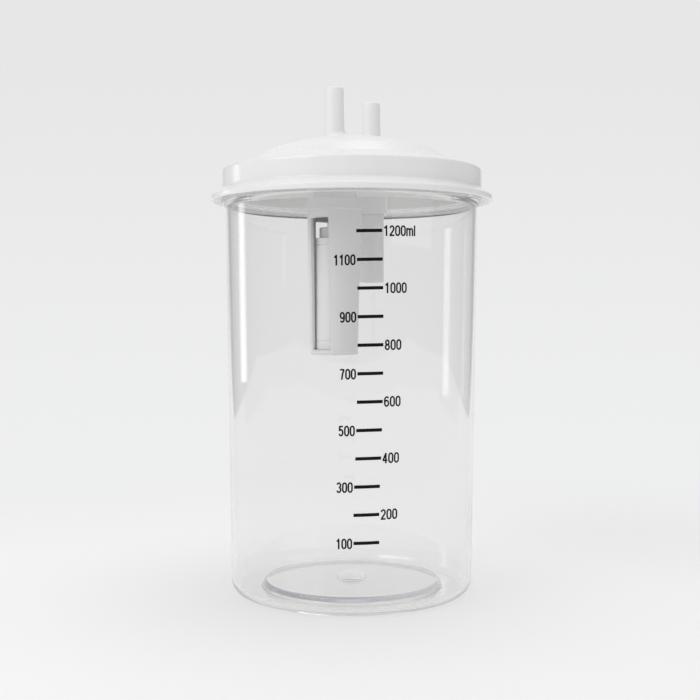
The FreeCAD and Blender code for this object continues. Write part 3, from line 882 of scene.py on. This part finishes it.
cage_corners = outline([
    (CAGE_DRAIN, CAGE_FOOT, DRAIN_ROUND),
    (CAGE_BORE + CAGE_WALL, CAGE_FOOT, CAGE_FOOT_ROUND),
    (CAGE_TOP_BORE + CAGE_TOP_WALL, SEAT_HEIGHT, CAGE_TOP_ROUND),
    (COLLAR_RADIUS, SEAT_HEIGHT, COLLAR_ROUND),
    (COLLAR_RADIUS, COLLAR_TOP, COLLAR_ROUND),
    (COLLAR_BORE, COLLAR_TOP),
    (COLLAR_BORE, SEAT_HEIGHT),
    (CAGE_TOP_BORE, SEAT_HEIGHT),
    (CAGE_BORE, CAGE_FLOOR),
    (CAGE_DRAIN, CAGE_FLOOR),
], closed=True)
cage = turned("slotted_cage", cage_corners, VACUUM_PORT, 192, closed=True)
slots_build = bmesh.new()
for slot in (FRONT_SLOT, BACK_SLOT):
    slot_shape = outline([
        (-slot["width"] / 2, SLOT_SILL),
        (slot["width"] / 2, SLOT_SILL),
        (slot["width"] / 2, slot["top"], SLOT_ROUND),
        (-slot["width"] / 2, slot["top"], SLOT_ROUND),
    ], closed=True)
    azimuth = math.radians(slot["azimuth"])
    ahead = Vector((math.cos(azimuth), math.sin(azimuth), 0))
    aside = Vector((-ahead.y, ahead.x, 0))
    ends = []
    for depth in SLOT_CUT:
        foot = Vector((*VACUUM_PORT, 0)) + ahead * depth
        corners = [foot + aside * across + Vector((0, 0, up)) for across, up in slot_shape]
        ends.append([slots_build.verts.new(corner) for corner in corners])
    slots_build.faces.new(ends[0])
    slots_build.faces.new(ends[1][::-1])
    join_rings(slots_build, ends[0], ends[1])
bmesh.ops.recalc_face_normals(slots_build, faces=slots_build.faces)
slots = new_piece("slots", slots_build)
cutting = cage.modifiers.new("slots", "BOOLEAN")
cutting.operation = "DIFFERENCE"
cutting.solver = "EXACT"
cutting.object = slots
bpy.context.view_layer.update()
cage_mesh = bpy.data.meshes.new_from_object(cage.evaluated_get(bpy.context.evaluated_depsgraph_get()))
cage.modifiers.clear()
cage.data = cage_mesh
bpy.data.objects.remove(slots)

matte = Finish("white_matte_plastic")
grain = matte.noise(1200.0, 3.0)
matte.end(matte.node("ShaderNodeBsdfPrincipled", {}, {
    "Base Color": matte.blend(grain, (0.78, 0.775, 0.78, 1), (0.82, 0.815, 0.82, 1)),
    "Roughness": 0.4 + 0.12 * grain,
    "Normal": matte.bump(grain, 0.000012),
}))
matte.dress(cage)
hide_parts("float_cage")
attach(cage, "lid")


# Drop tube
# A short length of white extruded tube, cut square and pushed up into its socket under the rear port.
TUBE_RADIUS = 5.9
TUBE_FOOT = 138.0
TUBE_ROUND = 0.4
TUBE_BORE_ROUND = 0.2

tube_corners = outline([
    (TUBE_BORE, TUBE_FOOT, TUBE_BORE_ROUND),
    (TUBE_RADIUS, TUBE_FOOT, TUBE_ROUND),
    (TUBE_RADIUS, GROOVE_CEILING, TUBE_ROUND),
    (TUBE_BORE, GROOVE_CEILING),
], closed=True)
drop_tube = turned("drop_tube_cut", tube_corners, PATIENT_PORT, 128, closed=True)
matte.dress(drop_tube)
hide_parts("drop_tube")
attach(drop_tube, "lid")


# Float
# A thin hollow tube closed by two plugged caps, which shuts in the air that lifts it. The seams of the
# caps show as fine rings near its ends.
FLOAT_RADIUS = 8.1
FLOAT_BORE = 6.9
FLOAT_PLUG = 6.85
FLOAT_CAP_BORE = 5.65
FLOAT_FOOT = 108.0
FLOAT_TOP = 156.0
FLOAT_SEAM_LOW = 111.8
FLOAT_SEAM_HIGH = 153.1
CAP_PLUG = 3.0
SEAM_ROUND = 0.35
STUD_RADIUS = 2.0
STUD_TOP = 158.6

float_wall = outline([
    (FLOAT_BORE, FLOAT_SEAM_LOW),
    (FLOAT_RADIUS, FLOAT_SEAM_LOW, SEAM_ROUND),
    (FLOAT_RADIUS, FLOAT_SEAM_HIGH, SEAM_ROUND),
    (FLOAT_BORE, FLOAT_SEAM_HIGH),
], closed=True)
float_tube = turned("float_wall", float_wall, VACUUM_PORT, closed=True)
bottom_cap = turned("float_foot_cap", outline([
    (0, FLOAT_FOOT),
    (FLOAT_RADIUS, FLOAT_FOOT, SEAM_ROUND),
    (FLOAT_RADIUS, FLOAT_SEAM_LOW, SEAM_ROUND),
    (FLOAT_PLUG, FLOAT_SEAM_LOW),
    (FLOAT_PLUG, FLOAT_SEAM_LOW + CAP_PLUG),
    (FLOAT_CAP_BORE, FLOAT_SEAM_LOW + CAP_PLUG),
    (FLOAT_CAP_BORE, FLOAT_SEAM_LOW),
    (0, FLOAT_SEAM_LOW),
]), VACUUM_PORT)
top_cap = turned("float_head_cap", outline([
    (0, FLOAT_SEAM_HIGH),
    (FLOAT_CAP_BORE, FLOAT_SEAM_HIGH),
    (FLOAT_CAP_BORE, FLOAT_SEAM_HIGH - CAP_PLUG),
    (FLOAT_PLUG, FLOAT_SEAM_HIGH - CAP_PLUG),
    (FLOAT_PLUG, FLOAT_SEAM_HIGH),
    (FLOAT_RADIUS, FLOAT_SEAM_HIGH, SEAM_ROUND),
    (FLOAT_RADIUS, FLOAT_TOP, SEAM_ROUND),
    (STUD_RADIUS, FLOAT_TOP),
    (STUD_RADIUS, STUD_TOP),
    (0, STUD_TOP),
]), VACUUM_PORT)

pale = Finish("pale_float_plastic")
milk = pale.noise(400.0, 3.0)
pale.end(pale.node("ShaderNodeBsdfPrincipled", {}, {
    "Base Color": pale.blend(milk, (0.82, 0.825, 0.82, 1), (0.86, 0.865, 0.86, 1)),
    "Roughness": 0.3 + 0.12 * milk,
    "Normal": pale.bump(milk, 0.00001),
}))
pale.dress(float_tube, bottom_cap, top_cap)
for piece, node in ((float_tube, "float_tube"), (bottom_cap, "float_bottom_cap"), (top_cap, "float_top_cap")):
    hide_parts(node)
    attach(piece, "float")


# Valve seal
# A grey-brown rubber pad, pressed on the stud of the float's upper cap. It shuts the valve seat when the
# float has risen.
SEAL_RADIUS = 6.35
SEAL_TOP = 160.6
SEAL_ROUND = 0.5
SEAL_BORE = STUD_RADIUS + 0.05

seal = turned("valve_pad", outline([
    (0, STUD_TOP),
    (SEAL_BORE, STUD_TOP),
    (SEAL_BORE, FLOAT_TOP),
    (SEAL_RADIUS, FLOAT_TOP, SEAL_ROUND),
    (SEAL_RADIUS, SEAL_TOP, SEAL_ROUND),
    (0, SEAL_TOP),
]), VACUUM_PORT)

rubber = Finish("grey_brown_rubber")
bloom = rubber.noise(500.0, 4.0, 0.6)
rubber.end(rubber.node("ShaderNodeBsdfPrincipled", {}, {
    "Base Color": rubber.blend(bloom, (0.70, 0.665, 0.685, 1), (0.78, 0.745, 0.765, 1)),
    "Roughness": 0.55 + 0.2 * bloom,
    "Normal": rubber.bump(bloom, 0.00003),
}))
rubber.dress(seal)
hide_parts("valve_seal")
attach(seal, "float")


# Studio
# A pale paper sweep that rises behind the canister, soft lamps to the left, right and above, and the
# camera at the photograph's place. The studio's lengths are in metres.
SWEEP_HALF = 0.55
SWEEP_FRONT_HALF = 2.0
SWEEP_NARROWS = 0.5
SWEEP_FRONT = -1.6
SWEEP_BACK = 1.1
SWEEP_BEND = 0.5
SWEEP_TOP = 1.6
SWEEP_UNDER = 0.0002

sweep_path = [(SWEEP_FRONT, 0.0), (-0.4, 0.0), (0.2, 0.0), (SWEEP_BACK - SWEEP_BEND, 0.0)]
for index in range(1, 17):
    turn = math.pi / 2 * index / 16
    rise = SWEEP_BEND * (1 - math.cos(turn))
    sweep_path.append((SWEEP_BACK - SWEEP_BEND + SWEEP_BEND * math.sin(turn), rise))
sweep_path.append((SWEEP_BACK, SWEEP_TOP))
sweep_build = bmesh.new()
columns = []
for y, z in sweep_path:
    half = SWEEP_HALF if z > 0 or y > SWEEP_NARROWS else SWEEP_FRONT_HALF
    places = [Vector((side * half, y, z - SWEEP_UNDER)) / MM for side in (-1, 1)]
    columns.append([sweep_build.verts.new(place) for place in places])
for near, far in zip(columns, columns[1:]):
    sweep_build.faces.new((near[0], near[1], far[1], far[0]))
sweep = new_piece("paper_sweep", sweep_build)

paper = Finish("pale_paper")
away = (paper.along("X") ** 2.0 + paper.along("Y") ** 2.0) ** 0.5
far_share = paper.ramp(away, 0.12, 0.42, interpolation_type="SMOOTHSTEP")
bent_rays = paper.ray("Is Glossy Ray").at_least(paper.ray("Is Transmission Ray"))
seen = paper.ray("Is Camera Ray").at_least(bent_rays)
tooth = paper.blend(paper.noise(3.0, 2.0), (0.93, 0.93, 0.925, 1), (0.95, 0.95, 0.945, 1))
lit = paper.node("ShaderNodeBsdfDiffuse", {}, {"Color": tooth})
# Away from the canister the paper glows with painted light in place of lamplight, paler at the floor and
# darker higher up as the light falls off
painted_paper_tone = paper.blend(paper.ramp(paper.along("Z"), 0.0, 0.45), (0.855, 0.86, 0.86, 1), (0.80, 0.80, 0.80, 1))
painted_paper_light = paper.node("ShaderNodeEmission", {}, {"Color": painted_paper_tone, "Strength": 1.0})
paper.end(paper.mixed(far_share * seen, lit, painted_paper_light))
paper.dress(sweep)

world = bpy.data.worlds.new("studio")
bpy.context.scene.world = world
world.use_nodes = True
room = Wiring(world.node_tree)
room_shade = room.node("ShaderNodeBackground", {}, {"Color": (0.57, 0.57, 0.575, 1)})
for kind, grey in (("Glossy", 0.32), ("Transmission", 0.55), ("Camera", 0.80)):
    room_ray = room.node("ShaderNodeLightPath", {}, {}, f"Is {kind} Ray")
    room_part = room.node("ShaderNodeBackground", {}, {"Color": (grey, grey, grey, 1)})
    room_shade = room.node("ShaderNodeMixShader", {}, {0: room_ray, 1: room_shade, 2: room_part})
room.end(room_shade, "ShaderNodeOutputWorld")


def softbox(name, place, aim, width, height, brightness):
    """A rectangular lamp that faces a point; its brightness is that of its face, where 1 is white."""
    lamp = bpy.data.lights.new(name, "AREA")
    lamp.shape = "RECTANGLE"
    lamp.size = width
    lamp.size_y = height
    lamp.energy = brightness * math.pi * width * height
    holder = bpy.data.objects.new(name, lamp)
    holder.location = place
    holder.rotation_euler = (Vector(aim) - Vector(place)).to_track_quat("-Z", "Y").to_euler()
    bpy.context.scene.collection.objects.link(holder)


softbox("key_lamp", (-0.86, -0.62, 0.75), (0, 0, 0.12), 0.8, 0.8, 1.92)
softbox("window", (-0.66, -0.76, 0.78), (0, 0, 0.05), 0.25, 0.5, 2.0)
softbox("left_strip", (-0.726, 0.337, 0.17), (0, 0, 0.15), 0.14, 0.26, 1.8)
softbox("fill_panel", (0.85, -0.6, 0.6), (0, 0, 0.1), 0.9, 0.9, 0.45)
softbox("top_lamp", (0.1, 0.1, 1.1), (0, 0, 0.1), 0.9, 0.9, 1.15)

CAMERA_PLACE = (0, -0.5144, 0.1232)
CAMERA_DOWN = 0.0311
CAMERA_LENS = 59.05
CAMERA_SENSOR = 36.0
CAMERA_SHIFT = -0.00228

camera = bpy.data.cameras.new("camera")
camera.lens = CAMERA_LENS
camera.sensor_width = CAMERA_SENSOR
camera.shift_x = CAMERA_SHIFT
camera.clip_start = 0.01
viewpoint = bpy.data.objects.new("camera", camera)
viewpoint.location = CAMERA_PLACE
viewpoint.rotation_euler = (math.pi / 2 - CAMERA_DOWN, 0, 0)
bpy.context.scene.collection.objects.link(viewpoint)
bpy.context.scene.camera = viewpoint
bpy.context.scene.view_settings.view_transform = "Standard"
